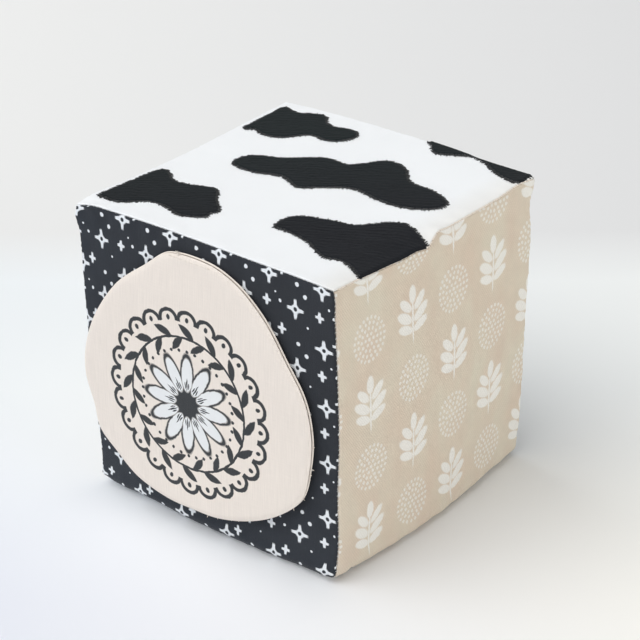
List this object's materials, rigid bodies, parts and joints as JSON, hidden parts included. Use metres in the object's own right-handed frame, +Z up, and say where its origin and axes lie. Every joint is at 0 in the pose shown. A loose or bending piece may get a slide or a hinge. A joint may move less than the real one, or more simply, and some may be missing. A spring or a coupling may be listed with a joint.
{
  "type": "soft fabric block",
  "caption": "Soft cube with a foam core in a sewn cotton cover, raised spots on top and a padded flap that lifts on the front.",
  "frame": {"origin": "middle of the flat base, on the surface that the block rests on", "axes": "+Z up, -Y towards the front face with the flap, +X towards the beige face on its right"},
  "size_m": [0.1325, 0.1351, 0.1311],
  "materials": {
    "white_cotton": "plain woven white cotton, matt",
    "night_cloth": "dark blue-black cotton with a white print of small stars, matt",
    "beige_canvas": "beige twill canvas with an off-white print, matt",
    "cream_canvas": "cream canvas with vertical slubs, dark printed strokes, matt",
    "black_thread": "rows of thick black sewing thread, matt with a slight sheen",
    "sewing_thread": "fine cotton sewing thread",
    "foam": "soft open-cell upholstery foam, matt",
    "wadding": "thin white wadding"
  },
  "bodies": {
    "block": {"back_left_seam_thread": "sewing_thread", "back_panel": "night_cloth", "back_right_seam_thread": "sewing_thread", "bottom_back_seam_thread": "sewing_thread", "bottom_front_seam_thread": "sewing_thread", "bottom_left_seam_thread": "sewing_thread", "bottom_panel": "white_cotton", "bottom_right_seam_thread": "sewing_thread", "centre_spot": "black_thread", "flap_stitching": "sewing_thread", "flap_top_margin": "cream_canvas", "foam_core": "foam", "front_left_seam_thread": "sewing_thread", "front_panel": "night_cloth", "front_right_seam_thread": "sewing_thread", "left_back_spot": "black_thread", "left_front_spot": "black_thread", "left_panel": "beige_canvas", "right_back_spot": "black_thread", "right_front_spot": "black_thread", "right_panel": "beige_canvas", "top_back_seam_thread": "sewing_thread", "top_front_seam_thread": "sewing_thread", "top_left_seam_thread": "sewing_thread", "top_panel": "white_cotton", "top_right_seam_thread": "sewing_thread"},
    "flap": {"flap_backing": "cream_canvas", "flap_edge_thread": "sewing_thread", "flap_face": "cream_canvas", "flap_wadding": "wadding"}
  },
  "joints": [
    {"name": "flap_lift", "type": "hinge", "parent": "block", "child": "flap", "pos_m": [0, -0.06829, 0.11924], "axis": [-1, 0, 0], "range_deg": [0, 170]}
  ]
}
